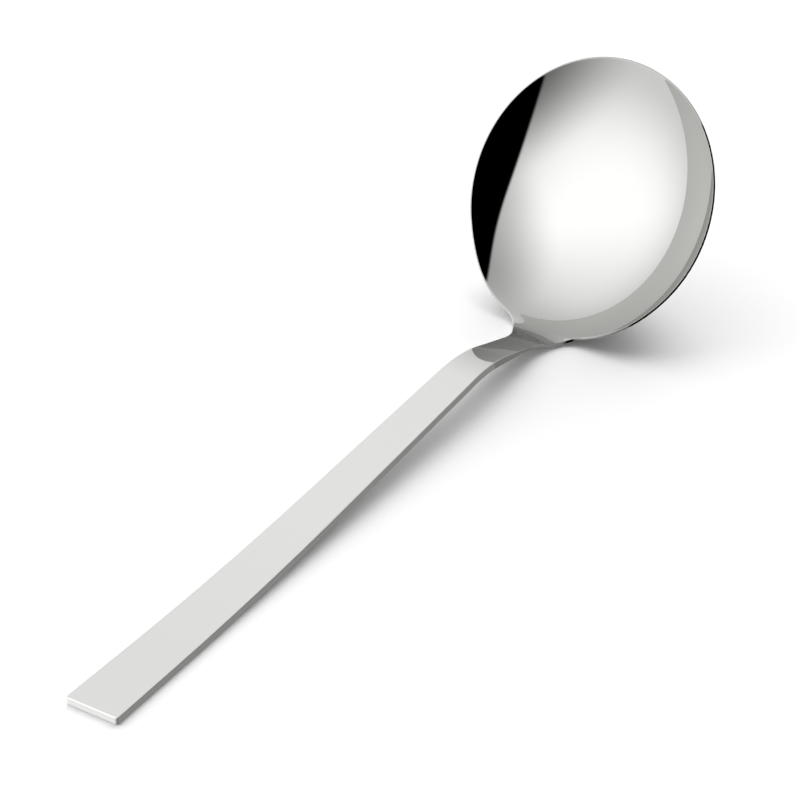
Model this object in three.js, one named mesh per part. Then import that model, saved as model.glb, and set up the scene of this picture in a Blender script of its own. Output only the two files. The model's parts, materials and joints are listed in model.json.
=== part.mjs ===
// A soup ladle: a drawn bowl and a flat bar handle, joined by a short neck with two flush welds.
// Millimetres, +Z up, lying on the table at Z = 0. +X runs from the handle's free end to the bowl.

import * as THREE from 'three';

const degrees = THREE.MathUtils.degToRad;

// Driving dimensions: the bowl, inside, across its rim and down from its rim. Its deepest point lies
// off the rim's middle, towards the neck.
const bowlWidth = 83.6;
const bowlLength = 87.5;
const bowlDepth = 18;
const deepestOffset = 3;
const bowlWall = 1.2;

// Driving dimensions: the bar that makes the handle and the neck.
const barThickness = 2.5;
const handleEndWidth = 19;
const neckWidth = 9.9;
const neckFillet = 18;
const edgeBevel = 0.35;
const endCornerRadius = 1;

// Driving dimensions: the bar's side view, from its free end, as lengths and the turns made in them.
const restLength = 31.5;
const sweepLength = 86;
const sweepTurn = degrees(4.4);
const shaftLength = 74.9;
const humpLength = 13.3;
const humpTurn = degrees(20.9);
const throatLength = 8.9;
const throatTurn = degrees(19.9);

// Driving dimensions: the bowl's outline swells a little towards the neck, its lip flattens outside the
// rim, and two welds join the pieces.
const rimSwell = 2;
const swellAngle = degrees(65);
const lipLength = 9.6;
const flatteningLength = 8;
const flatAngle = degrees(8);
const roundAngle = degrees(22);
const weldWidth = 1.6;

// Mesh fineness, as counts.
const barColumns = 1;
const sweepSteps = 3;
const humpSteps = 8;
const neckSteps = 10;
const cornerSteps = 4;
const bowlRings = 28;
const lowestPointSteps = 400;
const filletRays = 8;
const rimRays = 22;

// The bowl is a cap of a ball, stretched a little along the ladle and leaning towards the neck.
const rimRadius = bowlWidth / 2;
const stretch = bowlLength / bowlWidth;
const lean = deepestOffset / bowlDepth;
const ballRadius = (rimRadius ** 2 + bowlDepth ** 2) / (2 * bowlDepth);
const capAngle = Math.asin(rimRadius / ballRadius);
const rimReach = ballRadius * capAngle;

// The rim's plane follows from the bar's turns and from how steeply the bowl leaves its rim.
const rimRise = Math.sin(capAngle);
const rimSteepness = Math.atan2(rimRise, stretch * Math.cos(capAngle) - lean * rimRise);
const neckHeading = sweepTurn - humpTurn;
const bowlPitch = neckHeading + throatTurn + rimSteepness;
const alongRim = new THREE.Vector2(Math.cos(bowlPitch), Math.sin(bowlPitch));
const intoBowl = new THREE.Vector2(Math.sin(bowlPitch), -Math.cos(bowlPitch));

// The lip, outside the rim and only towards the neck, changes smoothly from the bowl to the bar.
const lipEnd = rimReach + lipLength;

function barShare(u, v) {
  const along = THREE.MathUtils.smootherstep(Math.hypot(u, v), rimReach, rimReach + flatteningLength);
  const aside = THREE.MathUtils.smootherstep(Math.atan2(Math.abs(v), u), flatAngle, roundAngle);
  return along * (1 - aside);
}

// Evenly spread values, both ends included.
function spread(from, to, steps) {
  return Array.from({ length: steps + 1 }, (_, i) => from + ((to - from) * i) / steps);
}

// One step of the bar's side view: x, z and heading after a length run with a steady turn.
function runOn(start, length, turn) {
  const middle = start.heading + turn / 2;
  const chord = turn === 0 ? length : (2 * length * Math.sin(turn / 2)) / turn;
  return {
    x: start.x + chord * Math.cos(middle),
    z: start.z + chord * Math.sin(middle),
    heading: start.heading + turn,
  };
}

// The bent sheet, for a length of straight neck. On it u runs from the bowl's middle along the surface
// to the handle's free end, v runs to the left, and below is how far a point lies under the upper face.
function bentSheet(neckStraight) {
  const runs = [
    { length: restLength, turn: 0 },
    { length: sweepLength, turn: sweepTurn },
    { length: shaftLength, turn: 0 },
    { length: humpLength, turn: -humpTurn },
    { length: neckStraight, turn: 0 },
    { length: throatLength, turn: throatTurn },
  ];
  const barLength = runs.reduce((total, run) => total + run.length, 0);

  // The bar's upper line in side view, at a distance from its free end.
  function barLine(distance) {
    let place = { x: 0, z: barThickness, heading: 0 };
    let left = distance;
    for (const { length, turn } of runs) {
      const part = Math.min(left, length);
      place = runOn(place, part, part === length ? turn : (turn * part) / length);
      left -= part;
    }
    return runOn(place, left, 0);
  }

  const rimBack = barLine(barLength);
  const rimCentre = new THREE.Vector2(rimBack.x, rimBack.z).addScaledVector(alongRim, rimRadius * stretch);

  function bowlPoint(u, v, below) {
    const reach = Math.hypot(u, v);
    const angle = reach / ballRadius;
    const widen = reach === 0 ? 0 : ((ballRadius + below) * Math.sin(angle)) / reach;
    const sunk = bowlDepth - ballRadius + (ballRadius + below) * Math.cos(angle);
    const side = rimCentre.clone().addScaledVector(intoBowl, sunk);
    side.addScaledVector(alongRim, -widen * u * stretch - lean * sunk);
    return new THREE.Vector3(side.x, widen * v, side.y);
  }

  function barPoint(u, v, below) {
    const place = barLine(barLength + rimReach - u);
    return new THREE.Vector3(
      place.x + below * Math.sin(place.heading),
      v,
      place.z - below * Math.cos(place.heading),
    );
  }

  function sheetPoint(u, v, below) {
    const flat = u > rimReach ? barPoint(u, v, below) : bowlPoint(u, 0, below).setY(v);
    return bowlPoint(u, v, below).lerp(flat, barShare(u, v));
  }

  return { barLength, sheetPoint };
}

// The straight part of the neck is as long as it takes to bring the bowl's underside to the table.
function neckStraightLength() {
  const { sheetPoint } = bentSheet(0);
  const heights = spread(-rimReach, lipEnd, lowestPointSteps).map((u) => sheetPoint(u, 0, bowlWall).z);
  return Math.min(...heights) / -Math.sin(neckHeading);
}

const { barLength, sheetPoint } = bentSheet(neckStraightLength());
const freeEnd = rimReach + barLength;

// Where the handle and the neck are cut: the neck starts at the hump's end.
const neckStart = freeEnd - restLength - sweepLength - shaftLength - humpLength;
const handleCut = neckStart + weldWidth;

// The outline before the bowl is drawn: a disc that swells towards the bar, and the bar, which meets it
// through two concave fillets.
const filletSide = neckWidth / 2 + neckFillet;
const filletFoot = Math.sqrt((rimReach + rimSwell + neckFillet) ** 2 - filletSide ** 2);
const filletAngle = Math.atan2(filletSide, filletFoot);

// The sheet thickens from the bowl's wall to the bar along the neck.
function thicknessAt(u) {
  const share = THREE.MathUtils.smootherstep(u, filletFoot, neckStart);
  return THREE.MathUtils.lerp(bowlWall, barThickness, share);
}

function halfWidthAt(u) {
  if (u < filletFoot) return filletSide - Math.sqrt(neckFillet ** 2 - (filletFoot - u) ** 2);
  const taper = (u - filletFoot) / (freeEnd - filletFoot);
  const plain = THREE.MathUtils.lerp(neckWidth / 2, handleEndWidth / 2, taper);
  const corner = Math.max(0, endCornerRadius - (freeEnd - u));
  return plain - endCornerRadius + Math.sqrt(endCornerRadius ** 2 - corner ** 2);
}

// How far the outline lies from the bowl's middle, in a direction measured from the neck's.
function outlineReach(angle) {
  if (angle >= filletAngle) {
    return rimReach + rimSwell * (1 - THREE.MathUtils.smootherstep(angle, filletAngle, swellAngle));
  }
  const along = filletFoot * Math.cos(angle) + filletSide * Math.sin(angle);
  return along - Math.sqrt(along ** 2 - filletFoot ** 2 - filletSide ** 2 + neckFillet ** 2);
}

// The bar's section at u: columns across the bar, each with four rows from the upper face down.
function sectionColumns(u) {
  const half = halfWidthAt(u);
  const deep = thicknessAt(u);
  const flat = half - edgeBevel;
  const rows = [0, edgeBevel, deep - edgeBevel, deep];
  const sides = [-half, ...spread(-flat, flat, barColumns), half];
  return sides.map((side) => rows.map((below, row) => {
    const edgeRow = row === 0 || row === rows.length - 1;
    const v = edgeRow ? THREE.MathUtils.clamp(side, -flat, flat) : side;
    return sheetPoint(u, v, below);
  }));
}

// A closed mesh from triangles of points. Points at one place become one vertex.
function solidFrom(triangles) {
  const places = new Map();
  const positions = [];
  const index = [];
  const vertexOf = (point) => {
    const key = point.toArray().map((value) => value.toFixed(4)).join(' ');
    if (!places.has(key)) {
      places.set(key, positions.length / 3);
      positions.push(...point.toArray());
    }
    return places.get(key);
  };
  for (const triangle of triangles) {
    const [a, b, c] = triangle.map(vertexOf);
    if (a !== b && b !== c && c !== a) index.push(a, b, c);
  }
  const geometry = new THREE.BufferGeometry();
  geometry.setAttribute('position', new THREE.Float32BufferAttribute(positions, 3));
  geometry.setIndex(index);
  geometry.computeVertexNormals();
  return geometry;
}

// The triangles between two lists of points that run side by side.
function band(first, second) {
  return first.slice(1).flatMap((point, i) => [
    [first[i], second[i], second[i + 1]],
    [first[i], second[i + 1], point],
  ]);
}

const reversed = (triangles) => triangles.map(([a, b, c]) => [a, c, b]);

function sectionFace(columns) {
  return columns.slice(1).flatMap((column, i) => band(columns[i], column));
}

// The outer loop of a section, closed on itself.
function sectionLoop(columns) {
  const last = columns.length - 1;
  const bottom = columns[0].length - 1;
  const loop = [
    ...columns.map((column) => column[0]),
    ...columns[last].slice(1, bottom),
    ...columns.map((column) => column[bottom]).reverse(),
    ...columns[0].slice(1, bottom).reverse(),
  ];
  return [...loop, loop[0]];
}

// A length of the bar, through a list of places u that runs from the free end towards the bowl.
function barPiece(places) {
  const sections = places.map(sectionColumns);
  const loops = sections.map(sectionLoop);
  const skin = loops.slice(1).flatMap((loop, i) => band(loops[i], loop));
  return solidFrom([
    ...sectionFace(sections[0]),
    ...skin,
    ...reversed(sectionFace(sections[sections.length - 1])),
  ]);
}

function handleGeometry() {
  const turns = spread(0, Math.PI / 2, cornerSteps).slice(0, -1);
  const corner = turns.map((turn) => freeEnd - endCornerRadius * (1 - Math.cos(turn)));
  const sweepStart = freeEnd - restLength;
  const sweepEnd = sweepStart - sweepLength;
  const sweep = spread(sweepStart, sweepEnd, sweepSteps);
  const hump = spread(sweepEnd - shaftLength, handleCut, humpSteps);
  return barPiece([...corner, freeEnd - endCornerRadius, ...sweep, ...hump]);
}

function handleWeldGeometry() {
  return barPiece([handleCut, neckStart]);
}

function neckGeometry() {
  return barPiece(spread(neckStart, lipEnd + weldWidth, neckSteps));
}

function bowlWeldGeometry() {
  return barPiece([lipEnd + weldWidth, lipEnd]);
}

// One ray of the bowl, from its middle over the rim and back underneath to its middle.
function bowlRay(angle) {
  const reach = outlineReach(Math.abs(angle));
  const at = (share, under) => {
    const far = (reach - edgeBevel) * share;
    const u = far * Math.cos(angle);
    return sheetPoint(u, far * Math.sin(angle), under * thicknessAt(u));
  };
  const shares = spread(0, 1, bowlRings);
  const rim = (share) => {
    const u = reach * Math.cos(angle);
    const below = THREE.MathUtils.lerp(edgeBevel, thicknessAt(u) - edgeBevel, share);
    return sheetPoint(u, reach * Math.sin(angle), below);
  };
  return [
    ...shares.map((share) => at(share, 0)),
    rim(0),
    rim(1),
    ...shares.reverse().map((share) => at(share, 1)),
  ];
}

// A ray of the bowl that ends on one column of its lip's section.
function lipRay(column) {
  const rayTo = (v, under) => spread(0, 1, bowlRings).map((share) => {
    const u = lipEnd * share;
    return sheetPoint(u, v * share, under * thicknessAt(u));
  });
  const top = column[0];
  const bottom = column[column.length - 1];
  return [
    ...rayTo(top.y, 0).slice(0, -1),
    ...column,
    ...rayTo(bottom.y, 1).slice(0, -1).reverse(),
  ];
}

function bowlGeometry() {
  const lipAngle = Math.atan2(halfWidthAt(lipEnd), lipEnd);
  const leftAngles = [
    ...spread(lipAngle, filletAngle, filletRays).slice(1),
    ...spread(filletAngle, Math.PI, rimRays).slice(1),
  ];
  const rightAngles = leftAngles.slice(0, -1).map((angle) => -angle).reverse();
  const rays = [
    ...sectionColumns(lipEnd).map(lipRay),
    ...[...leftAngles, ...rightAngles].map(bowlRay),
  ];
  return solidFrom([...rays, rays[0]].slice(1).flatMap((ray, i) => band(rays[i], ray)));
}

// Finishes.
const mirrorSteel = { color: 0xd6d7d6, roughness: 0.06, metalness: 1 };
const satinSteel = { color: 0xcfd0d0, roughness: 0.42, metalness: 1 };

const pieces = [
  ['bowl', bowlGeometry(), mirrorSteel],
  ['bowl_weld', bowlWeldGeometry(), mirrorSteel],
  ['neck', neckGeometry(), mirrorSteel],
  ['handle_weld', handleWeldGeometry(), satinSteel],
  ['handle', handleGeometry(), satinSteel],
];

const ladle = new THREE.Group();
for (const [name, geometry, finish] of pieces) {
  const mesh = new THREE.Mesh(geometry, new THREE.MeshStandardMaterial(finish));
  mesh.name = name;
  ladle.add(mesh);
}

// The origin is on the table, under the middle of the ladle.
const reachOfLadle = new THREE.Box3().setFromObject(ladle);
ladle.position.x = -reachOfLadle.getCenter(new THREE.Vector3()).x;

export default ladle;
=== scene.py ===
# A steel soup ladle on a white table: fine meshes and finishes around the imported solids, in metres.

import json
import math

import bpy
import numpy as np
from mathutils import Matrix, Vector


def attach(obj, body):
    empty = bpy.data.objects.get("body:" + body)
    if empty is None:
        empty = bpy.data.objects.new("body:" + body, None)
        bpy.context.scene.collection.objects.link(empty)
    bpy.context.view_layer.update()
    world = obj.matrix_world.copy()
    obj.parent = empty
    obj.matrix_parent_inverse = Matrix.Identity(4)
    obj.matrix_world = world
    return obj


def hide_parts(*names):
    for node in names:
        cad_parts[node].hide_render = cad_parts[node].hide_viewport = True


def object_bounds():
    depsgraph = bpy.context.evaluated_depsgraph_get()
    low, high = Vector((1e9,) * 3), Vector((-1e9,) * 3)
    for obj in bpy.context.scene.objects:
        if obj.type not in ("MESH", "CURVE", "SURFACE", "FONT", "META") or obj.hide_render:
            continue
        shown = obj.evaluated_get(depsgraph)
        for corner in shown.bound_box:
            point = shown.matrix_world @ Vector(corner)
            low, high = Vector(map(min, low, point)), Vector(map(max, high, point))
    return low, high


MM = 0.001

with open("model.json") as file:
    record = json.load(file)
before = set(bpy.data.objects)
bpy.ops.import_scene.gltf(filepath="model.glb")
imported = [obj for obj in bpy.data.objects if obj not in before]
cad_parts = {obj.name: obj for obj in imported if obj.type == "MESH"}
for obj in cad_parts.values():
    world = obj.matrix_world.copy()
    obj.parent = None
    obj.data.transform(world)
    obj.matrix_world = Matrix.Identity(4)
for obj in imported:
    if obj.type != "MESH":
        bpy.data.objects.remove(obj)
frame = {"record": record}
cad_low, cad_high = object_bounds()

# The ladle's sizes. They are the solids' own, but for a slightly shorter shaft, a longer hump, and turns
# of the hump and the throat that are about 1.4 degrees larger. The bowl's are inside sizes. The neck's
# place is its distance from the handle's free end.
BOWL_WIDTH = 83.6 * MM
BOWL_LENGTH = 87.5 * MM
BOWL_DEPTH = 18.0 * MM
DEEPEST_OFFSET = 3.0 * MM
BOWL_WALL = 1.2 * MM
BAR_THICKNESS = 2.5 * MM
HANDLE_END_WIDTH = 19.0 * MM
NECK_WIDTH = 9.9 * MM
NECK_FILLET = 18.0 * MM
END_CORNER_RADIUS = 1.0 * MM
REST_LENGTH = 31.5 * MM
SWEEP_LENGTH = 86.0 * MM
SWEEP_TURN = math.radians(4.4)
SHAFT_LENGTH = 74.2 * MM
HUMP_LENGTH = 19.7 * MM
HUMP_TURN = math.radians(22.34)
NECK_PLACE = 205.7 * MM
THROAT_LENGTH = 8.9 * MM
THROAT_TURN = math.radians(21.34)
RIM_SWELL = 2.0 * MM
SWELL_ANGLE = math.radians(65.0)
LIP_LENGTH = 9.6 * MM
FLATTENING_LENGTH = 8.0 * MM
FLAT_ANGLE = math.radians(8.0)
ROUND_ANGLE = math.radians(22.0)
WELD_WIDTH = 1.6 * MM

# Edges, and a wall that thins towards the bowl's rim. At the handle's free end, the edges are drawn in
# by a share of a full rounding.
RIM_ROUNDING = 0.06 * MM
RIM_EDGE = 0.7 * MM
RIM_THINNING = 8.0 * MM
BAR_ROUNDING = 0.3 * MM
END_INSET_SHARE = 0.9

# The handle's sides bulge a little. The bulge grows over this share of the bar's length, counted from
# the fillets at the bowl, and fades towards the free end.
HANDLE_BULGE = 0.55 * MM
BULGE_RISE = 0.2

# The curved line where the mirror finish stops.
FINISH_LINE_BULGE = 2.3 * MM
FINISH_LINE_SLANT = 1.6 * MM
FINISH_LINE_REACH = 12.0 * MM

# Mesh fineness, as counts.
LIP_COLUMNS = 24
BOWL_RINGS = 72
FILLET_RAYS = 28
RIM_RAYS = 110
EDGE_STEPS = 5
HANDLE_STATIONS = 150
NECK_STATIONS = 60
WELD_STATIONS = 4
END_STEPS = 6
LOWEST_POINT_STEPS = 2000

# The camera, from the photograph: its angles, what it looks at, and its long lens.
VIEW_AZIMUTH = math.radians(55.6)
VIEW_ELEVATION = math.radians(35.0)
VIEW_DISTANCE = 2.5
VIEW_TARGET = Vector((37.13 * MM, 16.13 * MM, 0.0))
VIEW_LENS = 363.6
VIEW_SENSOR = 36.0
VIEW_CLIP = 20.0

# Derived shape of the bowl, a leaning and slightly stretched cap of a ball.
RIM_RADIUS = BOWL_WIDTH / 2
STRETCH = BOWL_LENGTH / BOWL_WIDTH
LEAN = DEEPEST_OFFSET / BOWL_DEPTH
BALL_RADIUS = (RIM_RADIUS**2 + BOWL_DEPTH**2) / (2 * BOWL_DEPTH)
CAP_ANGLE = math.asin(RIM_RADIUS / BALL_RADIUS)
RIM_REACH = BALL_RADIUS * CAP_ANGLE
RIM_RISE = math.sin(CAP_ANGLE)
RIM_STEEPNESS = math.atan2(RIM_RISE, STRETCH * math.cos(CAP_ANGLE) - LEAN * RIM_RISE)
NECK_HEADING = SWEEP_TURN - HUMP_TURN
BOWL_PITCH = NECK_HEADING + THROAT_TURN + RIM_STEEPNESS
ALONG_RIM = np.array([math.cos(BOWL_PITCH), 0.0, math.sin(BOWL_PITCH)])
INTO_BOWL = np.array([math.sin(BOWL_PITCH), 0.0, -math.cos(BOWL_PITCH)])
SIDEWAYS = np.array([0.0, 1.0, 0.0])
LIP_END = RIM_REACH + LIP_LENGTH


def smooth_share(value, start, end):
    """0 before start, 1 after end, with no sudden change of curvature between."""
    t = np.clip((value - start) / (end - start), 0.0, 1.0)
    return t * t * t * (t * (6.0 * t - 15.0) + 10.0)


def bar_share(u, v):
    """The lip, outside the rim and only towards the neck, changes smoothly from the bowl to the bar."""
    along = smooth_share(np.hypot(u, v), RIM_REACH, RIM_REACH + FLATTENING_LENGTH)
    aside = smooth_share(np.arctan2(np.abs(v), u), FLAT_ANGLE, ROUND_ANGLE)
    return along * (1 - aside)


class BentSheet:
    """The ladle's sheet for a length of straight neck. u runs from the bowl's middle along the surface
    to the handle's free end, v runs to the left, and below is the depth under the upper face."""

    def __init__(self, neck_straight):
        self.runs = [
            (REST_LENGTH, 0.0),
            (SWEEP_LENGTH, SWEEP_TURN),
            (SHAFT_LENGTH, 0.0),
            (HUMP_LENGTH, -HUMP_TURN),
            (neck_straight, 0.0),
            (THROAT_LENGTH, THROAT_TURN),
        ]
        self.bar_length = sum(length for length, _ in self.runs)
        self.free_end = RIM_REACH + self.bar_length
        x, z, _ = self.bar_line(np.array([self.bar_length]))
        rim_back = np.array([x[0], 0.0, z[0]])
        self.rim_centre = rim_back + RIM_RADIUS * STRETCH * ALONG_RIM

    def bar_line(self, distance):
        """x, z and heading of the bar's upper line at distances from its free end."""
        x = np.full_like(distance, cad_low.x)
        z = np.full_like(distance, BAR_THICKNESS)
        heading = np.zeros_like(distance)
        left = distance.copy()
        for length, turn in self.runs + [(math.inf, 0.0)]:
            part = np.minimum(left, length)
            turned = part * (turn / length) if turn else np.zeros_like(part)
            middle = heading + turned / 2
            chord = part * np.sinc(turned / (2 * math.pi))
            x = x + chord * np.cos(middle)
            z = z + chord * np.sin(middle)
            heading = heading + turned
            left = left - part
        return x, z, heading

    def bowl_point(self, u, v, below):
        """Points of the bowl, as if it went on without a bar."""
        reach = np.hypot(u, v)
        angle = reach / BALL_RADIUS
        widen = (BALL_RADIUS + below) * np.sinc(angle / math.pi) / BALL_RADIUS
        sunk = BOWL_DEPTH - BALL_RADIUS + (BALL_RADIUS + below) * np.cos(angle)
        along = -widen * u * STRETCH - LEAN * sunk
        return (
            self.rim_centre
            + along[:, None] * ALONG_RIM
            + sunk[:, None] * INTO_BOWL
            + (widen * v)[:, None] * SIDEWAYS
        )

    def bar_point(self, u, v, below):
        """Points of the bar, as if it went on without a bowl."""
        x, z, heading = self.bar_line(self.free_end - u)
        return np.stack([x + below * np.sin(heading), v, z - below * np.cos(heading)], 1)

    def points(self, u, v, below):
        """Points of the ladle: the bowl, the bar, and a smooth change between them in the lip."""
        u, v, below = np.broadcast_arrays(np.atleast_1d(u), v, below)
        u, v, below = u.astype(float), v.astype(float), below.astype(float)
        flat = self.bowl_point(u, np.zeros_like(u), below)
        flat[:, 1] = v
        outside = u > RIM_REACH
        flat[outside] = self.bar_point(u[outside], v[outside], below[outside])
        share = bar_share(u, v)[:, None]
        return self.bowl_point(u, v, below) * (1 - share) + flat * share


def neck_straight_length():
    """Long enough to bring the bowl's underside down to the table."""
    u = np.linspace(-RIM_REACH, LIP_END, LOWEST_POINT_STEPS)
    lowest = BentSheet(0.0).points(u, 0.0, BOWL_WALL)[:, 2].min()
    return lowest / -math.sin(NECK_HEADING)


sheet = BentSheet(neck_straight_length())
FREE_END = sheet.free_end
NECK_START = FREE_END - NECK_PLACE
HANDLE_CUT = NECK_START + WELD_WIDTH

# The outline before the bowl is drawn: a disc that swells towards the bar, and the bar, which meets it
# through two concave fillets.
FILLET_SIDE = NECK_WIDTH / 2 + NECK_FILLET
FILLET_FOOT = math.sqrt((RIM_REACH + RIM_SWELL + NECK_FILLET) ** 2 - FILLET_SIDE**2)
FILLET_ANGLE = math.atan2(FILLET_SIDE, FILLET_FOOT)


def thickness_at(u):
    """The sheet thickens from the bowl's wall to the bar along the neck."""
    return BOWL_WALL + (BAR_THICKNESS - BOWL_WALL) * smooth_share(u, FILLET_FOOT, NECK_START)


def half_width_at(u):
    """Half the bar's width, from the fillet at the bowl to the rounded corner at the free end."""
    if u < FILLET_FOOT:
        return FILLET_SIDE - math.sqrt(NECK_FILLET**2 - (FILLET_FOOT - u) ** 2)
    taper = (u - FILLET_FOOT) / (FREE_END - FILLET_FOOT)
    bulge = HANDLE_BULGE * (1 - taper) * smooth_share(taper, 0.0, BULGE_RISE)
    plain = (NECK_WIDTH + (HANDLE_END_WIDTH - NECK_WIDTH) * taper) / 2 + bulge
    corner = max(0.0, END_CORNER_RADIUS - (FREE_END - u))
    return plain - END_CORNER_RADIUS + math.sqrt(END_CORNER_RADIUS**2 - corner**2)


def outline_reach(angle):
    """How far the outline lies from the bowl's middle, in a direction measured from the neck's."""
    if angle >= FILLET_ANGLE:
        return RIM_REACH + RIM_SWELL * (1 - smooth_share(angle, FILLET_ANGLE, SWELL_ANGLE))
    along = FILLET_FOOT * math.cos(angle) + FILLET_SIDE * math.sin(angle)
    return along - math.sqrt(along**2 - FILLET_FOOT**2 - FILLET_SIDE**2 + NECK_FILLET**2)


def edge_profile(deep, rounding):
    """Inset from the outline and depth of the points that round an edge, from the top face down."""
    turns = np.linspace(0.0, math.pi / 2, EDGE_STEPS + 1)
    inset = rounding * (1 - np.sin(turns))
    sunk = rounding * (1 - np.cos(turns))
    return np.concatenate([inset, inset[::-1]]), np.concatenate([sunk, deep - sunk[::-1]])


class Skin:
    """Points and faces of the ladle's whole surface. Points at one place become one vertex."""

    GRID = 1e-8

    def __init__(self):
        self.index = {}
        self.points = []
        self.coordinates = []
        self.faces = []
        self.piece_of_face = []

    def vertex(self, point, uv):
        key = tuple(np.round(point / self.GRID).astype(np.int64))
        if key not in self.index:
            self.index[key] = len(self.points)
            self.points.append(point)
            self.coordinates.append(uv)
        return self.index[key]

    def row(self, u, v, below):
        """Vertices of a row of points of the sheet."""
        u, v, below = np.broadcast_arrays(u, v, below)
        return [self.vertex(p, c) for p, c in zip(sheet.points(u, v, below), zip(u, v))]

    def face(self, corners, piece):
        """Adds a face, without its repeated corners, unless nothing of it is left."""
        kept = [c for i, c in enumerate(corners) if c != corners[i - 1]]
        if len(kept) > 2:
            self.faces.append(kept)
            self.piece_of_face.append(piece)

    def band(self, first, second, piece):
        """Adds the faces between two rows of vertices."""
        for i in range(len(first) - 1):
            self.face([first[i], first[i + 1], second[i + 1], second[i]], piece)


def finish_line_shift(u, v):
    """Bends the cuts near the neck's start, so that the finish line bulges towards the handle."""
    near = 1 - smooth_share(abs(u - NECK_START), 0.0, FINISH_LINE_REACH)
    across = v / (NECK_WIDTH / 2)
    return near * (FINISH_LINE_BULGE * (1 - across**2) - FINISH_LINE_SLANT * across)


def section(skin, u, inset_end=0.0):
    """The closed loop of vertices round the bar at u: top, left edge, bottom, right edge."""
    deep = thickness_at(np.array([u]))[0]
    half = half_width_at(u) - inset_end
    flat = half - BAR_ROUNDING
    across = np.linspace(-flat, flat, LIP_COLUMNS + 1)
    inset, below = edge_profile(deep - 2 * inset_end, BAR_ROUNDING)
    below = below + inset_end
    v = np.concatenate([across, half - inset[1:-1], across[::-1], inset[1:-1][::-1] - half])
    depth = np.concatenate(
        [
            np.full_like(across, inset_end),
            below[1:-1],
            np.full_like(across, deep - inset_end),
            below[1:-1][::-1],
        ]
    )
    bent = u + finish_line_shift(u, v) if abs(u - NECK_START) < FINISH_LINE_REACH else u
    return skin.row(bent, v, depth)


def split_loop(loop):
    """A section's top, left edge, bottom and right edge. Top and bottom run from right to left, and the
    edges run down."""
    count = LIP_COLUMNS + 1
    side = 2 * EDGE_STEPS
    top = loop[:count]
    left = loop[count : count + side]
    bottom = loop[count + side : 2 * count + side][::-1]
    right = loop[2 * count + side :][::-1]
    return top, left, bottom, right


def add_bar(skin):
    """The bar's sections from the bowl's lip to the free end, and the pieces between them."""
    lengths = [
        ("bowl_weld", np.linspace(LIP_END, LIP_END + WELD_WIDTH, WELD_STATIONS + 1)),
        ("neck", np.linspace(LIP_END + WELD_WIDTH, NECK_START, NECK_STATIONS + 1)),
        ("handle_weld", np.linspace(NECK_START, HANDLE_CUT, WELD_STATIONS + 1)),
        ("handle", np.linspace(HANDLE_CUT, FREE_END - END_CORNER_RADIUS, HANDLE_STATIONS + 1)),
    ]
    ends = {}
    for piece, stations in lengths:
        loops = [section(skin, u) for u in stations]
        ends[piece] = [loops[0], loops[-1]]
        for first, second in zip(loops, loops[1:]):
            skin.band(first + first[:1], second + second[:1], piece)
    last = ends["handle"][1]
    for u, inset in free_end_stations():
        loop = section(skin, u, inset)
        skin.band(last + last[:1], loop + loop[:1], "handle")
        last = loop
    ends["handle"][1] = last
    return ends


def free_end_stations():
    """Places and insets of the sections that round the handle's corners, and then its end's edges."""
    corner_start = FREE_END - END_CORNER_RADIUS
    corner_span = END_CORNER_RADIUS - BAR_ROUNDING
    corner_turns = np.linspace(0.0, math.pi / 2, END_STEPS + 1)[1:-1]
    stations = [(corner_start + corner_span * math.sin(turn), 0.0) for turn in corner_turns]
    for turn in np.linspace(0.0, math.pi / 2, EDGE_STEPS + 1):
        inset = BAR_ROUNDING * (1 - math.cos(turn))
        stations.append((FREE_END - BAR_ROUNDING * (1 - math.sin(turn)), inset * END_INSET_SHARE))
    return stations


def add_bowl(skin, lip_loop):
    """The bowl's rays, from its middle to the outline and back underneath."""
    shares = np.linspace(0.0, 1.0, BOWL_RINGS + 1)
    top_ends, left_side, bottom_ends, right_side = split_loop(lip_loop)
    flat = half_width_at(LIP_END) - BAR_ROUNDING
    u = LIP_END * shares[:-1]
    rays = []
    for column, v in enumerate(np.linspace(-flat, flat, LIP_COLUMNS + 1)):
        top = skin.row(u, v * shares[:-1], np.zeros_like(u)) + [top_ends[column]]
        bottom = skin.row(u, v * shares[:-1], thickness_at(u)) + [bottom_ends[column]]
        edge = None
        if column == 0:
            edge = [top_ends[0], *right_side, bottom_ends[0]]
        if column == LIP_COLUMNS:
            edge = [top_ends[-1], *left_side, bottom_ends[-1]]
        rays.append((top, edge, bottom))
    lip_angle = math.atan2(half_width_at(LIP_END), LIP_END)
    left = [
        *np.linspace(lip_angle, FILLET_ANGLE, FILLET_RAYS + 1)[1:],
        *np.linspace(FILLET_ANGLE, math.pi, RIM_RAYS + 1)[1:],
    ]
    for angle in left + [-a for a in left[-2::-1]]:
        rays.append(bowl_ray(skin, angle, shares, lip_angle))
    for (top, edge, bottom), (next_top, next_edge, next_bottom) in zip(rays, rays[1:] + rays[:1]):
        skin.band(next_top, top, "bowl")
        skin.band(bottom, next_bottom, "bowl")
        if edge and next_edge:
            skin.band(next_edge, edge, "bowl")


def bowl_ray(skin, angle, shares, lip_angle):
    """Vertices of one ray: of the bowl's inside, of its edge and of its underside."""
    reach = outline_reach(abs(angle))
    far = (reach - RIM_ROUNDING) * shares
    u = far * math.cos(angle)
    v = far * math.sin(angle)
    off_lip = smooth_share(abs(angle), lip_angle, FILLET_ANGLE)
    near_rim = smooth_share(far, reach - RIM_THINNING, reach)
    deep = thickness_at(u) - (BOWL_WALL - RIM_EDGE) * (off_lip * near_rim)
    inset, below = edge_profile(deep[-1], RIM_ROUNDING)
    top = skin.row(u, v, np.zeros_like(u))
    bottom = skin.row(u, v, deep)
    rim = reach - inset[1:-1]
    edge = skin.row(rim * math.cos(angle), rim * math.sin(angle), below[1:-1])
    return top, [top[-1], *edge, bottom[-1]], bottom


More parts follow.
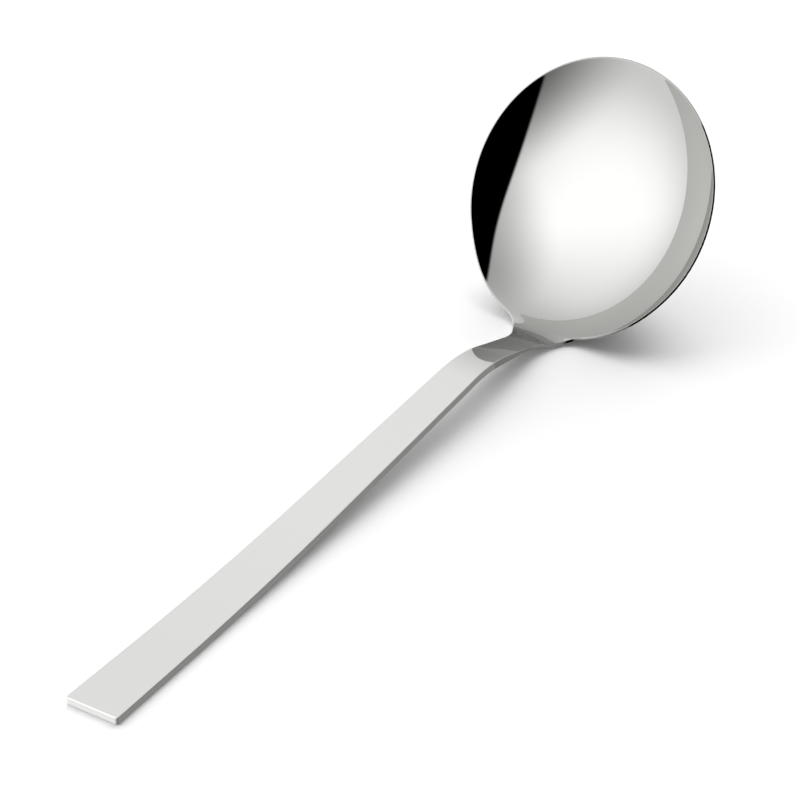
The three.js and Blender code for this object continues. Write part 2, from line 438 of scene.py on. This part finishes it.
def vertex_normals(points, faces):
    """Normals of the whole surface, weighted by area, so that cuts between pieces leave no seam."""
    normals = np.zeros_like(points)
    for corners in faces:
        p = points[corners]
        across = np.cross(p[1] - p[0], p[2] - p[0])
        if len(corners) == 4:
            across = np.cross(p[2] - p[0], p[3] - p[1])
        normals[corners] += across
    return normals / np.linalg.norm(normals, axis=1, keepdims=True)


def cap_faces(loop):
    """Faces that close a section's loop, column by column."""
    top, left, bottom, right = split_loop(loop)
    strips = [[top[i], bottom[i], bottom[i + 1], top[i + 1]] for i in range(LIP_COLUMNS)]
    return strips + [[top[0], *right, bottom[0]], [bottom[-1], *left[::-1], top[-1]]]


def make_piece(name, skin, points, normals, caps):
    """One closed mesh: its share of the skin, and a flat cap at each of its cuts."""
    own = [f for f, piece in zip(skin.faces, skin.piece_of_face) if piece == name]
    faces = own + caps
    used = sorted({c for f in faces for c in f})
    local = {c: i for i, c in enumerate(used)}
    mesh = bpy.data.meshes.new(name)
    mesh.from_pydata(points[used].tolist(), [], [[local[c] for c in f] for f in faces])
    mesh.polygons.foreach_set("use_smooth", [True] * len(own) + [False] * len(caps))
    uv_layer = mesh.uv_layers.new(name="sheet")
    uvs = [skin.coordinates[c] for f in faces for c in f]
    uv_layer.data.foreach_set("uv", np.array(uvs, dtype=np.float32).ravel())
    mesh.update()
    loop_normals = [normals[c] for f in own for c in f]
    for polygon in mesh.polygons[len(own) :]:
        loop_normals += [polygon.normal[:]] * polygon.loop_total
    mesh.normals_split_custom_set([tuple(n) for n in loop_normals])
    piece = bpy.data.objects.new(name + "_skin", mesh)
    bpy.context.scene.collection.objects.link(piece)
    return piece


def build_pieces():
    """The ladle's five pieces, cut from one skin."""
    skin = Skin()
    ends = add_bar(skin)
    add_bowl(skin, ends["bowl_weld"][0])
    points = np.array(skin.points)
    normals = vertex_normals(points, skin.faces)
    bowl_caps = [f[::-1] for f in cap_faces(ends["bowl_weld"][0])]
    pieces = {"bowl": make_piece("bowl", skin, points, normals, bowl_caps)}
    for name, (start, end) in ends.items():
        caps = cap_faces(start) + [f[::-1] for f in cap_faces(end)]
        pieces[name] = make_piece(name, skin, points, normals, caps)
    return pieces


# The finishes: colours, ranges of roughness, haze patches and brush lines.
MIRROR_COLOUR = (0.44, 0.4426, 0.4312, 1.0)
MIRROR_ROUGHNESS = (0.015, 0.045)
HAZE_SCALE = 55.0
HAZE_DETAIL = 4.0
SATIN_COLOUR = (0.669, 0.671, 0.659, 1.0)
SATIN_ROUGHNESS = (0.46, 0.58)
BRUSH_SCALE = (60.0, 5200.0, 1.0)
BRUSH_DETAIL = 6.0
BRUSH_STRENGTH = 0.12
BRUSH_DEPTH = 0.02 * MM


def new_material(name):
    """A material, its nodes, its links and its shader."""
    material = bpy.data.materials.new(name)
    material.use_nodes = True
    nodes = material.node_tree.nodes
    return material, nodes, material.node_tree.links, nodes["Principled BSDF"]


def vary_roughness(nodes, links, shader, pattern, roughness):
    """Spreads a pattern of 0 to 1 over a range of roughness."""
    spread = nodes.new("ShaderNodeMapRange")
    spread.inputs["To Min"].default_value, spread.inputs["To Max"].default_value = roughness
    links.new(pattern, spread.inputs["Value"])
    links.new(spread.outputs["Result"], shader.inputs["Roughness"])


def mirror_steel():
    """Polished steel with a faint haze that varies in soft patches."""
    material, nodes, links, shader = new_material("mirror_steel")
    shader.inputs["Base Color"].default_value = MIRROR_COLOUR
    shader.inputs["Metallic"].default_value = 1.0
    place = nodes.new("ShaderNodeTexCoord")
    haze = nodes.new("ShaderNodeTexNoise")
    haze.inputs["Scale"].default_value = HAZE_SCALE
    haze.inputs["Detail"].default_value = HAZE_DETAIL
    links.new(place.outputs["Object"], haze.inputs["Vector"])
    vary_roughness(nodes, links, shader, haze.outputs["Fac"], MIRROR_ROUGHNESS)
    return material


def satin_steel():
    """Satin steel with fine brush lines along the bar."""
    material, nodes, links, shader = new_material("satin_steel")
    shader.inputs["Base Color"].default_value = SATIN_COLOUR
    shader.inputs["Metallic"].default_value = 1.0
    place = nodes.new("ShaderNodeTexCoord")
    stretch = nodes.new("ShaderNodeMapping")
    stretch.inputs["Scale"].default_value = BRUSH_SCALE
    links.new(place.outputs["UV"], stretch.inputs["Vector"])
    lines = nodes.new("ShaderNodeTexNoise")
    lines.inputs["Scale"].default_value = 1.0
    lines.inputs["Detail"].default_value = BRUSH_DETAIL
    links.new(stretch.outputs["Vector"], lines.inputs["Vector"])
    vary_roughness(nodes, links, shader, lines.outputs["Fac"], SATIN_ROUGHNESS)
    relief = nodes.new("ShaderNodeBump")
    relief.inputs["Strength"].default_value = BRUSH_STRENGTH
    relief.inputs["Distance"].default_value = BRUSH_DEPTH
    links.new(lines.outputs["Fac"], relief.inputs["Height"])
    links.new(relief.outputs["Normal"], shader.inputs["Normal"])
    return material


def dress(pieces):
    """Gives each piece its finish and its place in the frame. The polished pieces do not mirror the
    satin ones."""
    finishes = {"mirror_steel": mirror_steel(), "satin_steel": satin_steel()}
    slots = {row["node"]: row["material_slot"] for row in frame["record"]["subparts"]}
    for name, piece in pieces.items():
        piece.data.materials.append(finishes[slots[name]])
        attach(piece, "root")
        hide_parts(name)
        piece.visible_glossy = slots[name] == "mirror_steel"


# The table, half its width, and its colour where the camera does not see it directly.
FLOOR_HALF = 4.0
FLOOR_COLOUR = (0.86, 0.86, 0.86, 1.0)
WHITE = (1.0, 1.0, 1.0, 1.0)


def add_floor():
    """A white table that catches the shadow. The steel mirrors the studio's lower half in its place."""
    h = FLOOR_HALF
    mesh = bpy.data.meshes.new("floor")
    mesh.from_pydata([(-h, -h, 0), (h, -h, 0), (h, h, 0), (-h, h, 0)], [], [(0, 1, 2, 3)])
    floor = bpy.data.objects.new("floor", mesh)
    bpy.context.scene.collection.objects.link(floor)
    material, nodes, links, shader = new_material("white_table")
    shader.inputs["Roughness"].default_value = 1.0
    shader.inputs["Specular IOR Level"].default_value = 0.0
    path = nodes.new("ShaderNodeLightPath")
    colour = nodes.new("ShaderNodeMix")
    colour.data_type = "RGBA"
    links.new(path.outputs["Is Camera Ray"], colour.inputs["Factor"])
    colour_a, colour_b = [s for s in colour.inputs if s.type == "RGBA"]
    colour_a.default_value = FLOOR_COLOUR
    colour_b.default_value = WHITE
    colour_out = [s for s in colour.outputs if s.type == "RGBA"][0]
    links.new(colour_out, shader.inputs["Base Color"])
    mesh.materials.append(material)
    floor.visible_glossy = False


# The studio. Directions are right, away and up as seen from the camera, levels are radiances, and a
# width is two cosines of the angle from a direction: where a change starts and where it is whole.
KEY_PANEL = (-0.674, -0.336, 0.657)
KEY_WIDTH = (0.18, 0.95)
KEY_LEVEL = 2.295
ROOM_LEVEL = 1.318
DARK_SIDE = (0.910, -0.226, -0.348)
DARK_EDGE = (0.215, 0.25)

# The dark side reaches further round away from the camera: up to this share is added to its cosine.
AWAY = (0.0, 1.0, 0.0)
AWAY_WIDTH = (-0.8, 0.5)
AWAY_SHARE = 0.15

# Soft shades: direction, width and strength.
SHADES = (
    ((0.706, -0.297, 0.643), (0.46, 1.0), 0.34),
    ((0.467, -0.557, -0.687), (0.17, 0.98), 1.0),
    ((0.075, 0.755, 0.652), (0.0, 0.8), 0.2),
)

# Dim glows inside the dark side, and the share of the studio's level that lights the table.
LOW_RIGHT = (0.764, 0.296, -0.574)
LOW_WIDTH = (0.8, 0.97)
LOW_LEVEL = 0.36
GLOW_WIDTH = (0.6, 0.95)
GLOW_LEVEL = 0.45
DIFFUSE_SHARE = 0.16


def add_studio():
    """A light room with a bright panel at the left and a dark side at the right of the camera."""
    world = bpy.data.worlds.new("studio")
    bpy.context.scene.world = world
    world.use_nodes = True
    nodes = world.node_tree.nodes
    links = world.node_tree.links
    background = nodes["Background"]
    background.inputs["Color"].default_value = WHITE

    place = nodes.new("ShaderNodeTexCoord")
    turn = nodes.new("ShaderNodeVectorRotate")
    turn.rotation_type = "Z_AXIS"
    turn.inputs["Angle"].default_value = VIEW_AZIMUTH
    links.new(place.outputs["Generated"], turn.inputs["Vector"])

    def towards(direction):
        """The cosine of the angle from a direction."""
        node = nodes.new("ShaderNodeVectorMath")
        node.operation = "DOT_PRODUCT"
        node.inputs[1].default_value = direction
        links.new(turn.outputs["Vector"], node.inputs[0])
        return node.outputs["Value"]

    def ramp(value, low, high, start, end):
        """A smooth change from start to end, numbers or outputs, as value goes from low to high."""
        node = nodes.new("ShaderNodeMapRange")
        node.interpolation_type = "SMOOTHSTEP"
        for socket, number in zip(("From Min", "From Max"), (low, high)):
            node.inputs[socket].default_value = number
        for socket, number in zip(("To Min", "To Max"), (start, end)):
            if isinstance(number, float):
                node.inputs[socket].default_value = number
            else:
                links.new(number, node.inputs[socket])
        links.new(value, node.inputs["Value"])
        return node.outputs["Result"]

    def combine(operation, first, second):
        """One step of arithmetic on an output and an output or a number."""
        node = nodes.new("ShaderNodeMath")
        node.operation = operation
        links.new(first, node.inputs[0])
        if isinstance(second, float):
            node.inputs[1].default_value = second
        else:
            links.new(second, node.inputs[1])
        return node.outputs["Value"]

    level = ramp(towards(KEY_PANEL), *KEY_WIDTH, ROOM_LEVEL, KEY_LEVEL)
    for direction, width, strength in SHADES:
        level = combine("MULTIPLY", level, ramp(towards(direction), *width, 1.0, 1.0 - strength))
    further = ramp(towards(AWAY), *AWAY_WIDTH, 0.0, AWAY_SHARE)
    darkness = combine("ADD", towards(DARK_SIDE), further)
    level = combine("MULTIPLY", level, ramp(darkness, *DARK_EDGE, 1.0, 0.0))
    level = combine("MAXIMUM", level, ramp(towards(LOW_RIGHT), *LOW_WIDTH, 0.0, LOW_LEVEL))
    level = combine("MAXIMUM", level, ramp(towards(DARK_SIDE), *GLOW_WIDTH, 0.0, GLOW_LEVEL))

    path = nodes.new("ShaderNodeLightPath")
    dimmed = combine("MULTIPLY", level, DIFFUSE_SHARE)
    level = ramp(path.outputs["Is Diffuse Ray"], 0.0, 1.0, level, dimmed)
    seen = ramp(path.outputs["Is Camera Ray"], 0.0, 1.0, level, 1.0)
    links.new(seen, background.inputs["Strength"])


# Two soft lights: azimuth from straight ahead of the camera, elevation, width and level.
SIDE_LIGHT = (math.radians(-30.0), math.radians(42.0), math.radians(80.0), 2.3)
BACK_LIGHT = (math.radians(24.0), math.radians(45.0), math.radians(55.0), 1.55)

# Of the bowl, only what lies below this height stops the side light.
SHADE_HEIGHT = 11.0 * MM


def low_bowl_shade(bowl):
    """The bowl's lowest part once more, unseen. It stops the side light in the whole bowl's place, which
    keeps the bowl's shadow small, as in the photograph, and smaller than a real bowl's would be."""
    vertices = [v.co[:] for v in bowl.data.vertices]
    faces = [p.vertices[:] for p in bowl.data.polygons]
    low_faces = [f for f in faces if max(vertices[i][2] for i in f) < SHADE_HEIGHT]
    mesh = bpy.data.meshes.new("low_bowl_shade")
    mesh.from_pydata(vertices, [], low_faces)
    shade = bpy.data.objects.new("low_bowl_shade", mesh)
    bpy.context.scene.collection.objects.link(shade)
    shade.visible_camera = False
    shade.visible_diffuse = False
    shade.visible_glossy = False
    shade.visible_transmission = False
    shade.visible_volume_scatter = False
    return shade


def add_soft_light(name, azimuth, elevation, width, level):
    """A wide light from far away that the steel does not mirror."""
    data = bpy.data.lights.new(name, "SUN")
    data.energy = level
    data.angle = width
    light = bpy.data.objects.new(name, data)
    turned = azimuth + VIEW_AZIMUTH
    flat = math.cos(elevation)
    towards = Vector((math.sin(turned) * flat, math.cos(turned) * flat, math.sin(elevation)))
    light.rotation_euler = towards.to_track_quat("Z", "Y").to_euler()
    light.visible_glossy = False
    bpy.context.scene.collection.objects.link(light)
    return light


def add_lights(pieces):
    """All of the ladle stops the back light. The bar and the bowl's lowest part stop the side light."""
    blockers = bpy.data.collections.new("side_light_blockers")
    for name in ("neck", "handle_weld", "handle", "bowl_weld"):
        blockers.objects.link(pieces[name])
    blockers.objects.link(low_bowl_shade(pieces["bowl"]))
    add_soft_light("side_light", *SIDE_LIGHT).light_linking.blocker_collection = blockers
    add_soft_light("back_light", *BACK_LIGHT)


def add_camera():
    """The camera that sees the ladle as the photograph does."""
    data = bpy.data.cameras.new("camera")
    data.lens = VIEW_LENS
    data.sensor_width = VIEW_SENSOR
    data.clip_end = VIEW_CLIP
    camera = bpy.data.objects.new("camera", data)
    flat = math.cos(VIEW_ELEVATION)
    back = Vector(
        (-math.sin(VIEW_AZIMUTH) * flat, -math.cos(VIEW_AZIMUTH) * flat, math.sin(VIEW_ELEVATION))
    )
    camera.location = VIEW_TARGET + VIEW_DISTANCE * back
    camera.rotation_euler = back.to_track_quat("Z", "Y").to_euler()
    bpy.context.scene.collection.objects.link(camera)
    bpy.context.scene.camera = camera


bpy.context.scene.view_settings.view_transform = "Standard"
add_camera()
add_floor()
add_studio()
ladle = build_pieces()
dress(ladle)
add_lights(ladle)
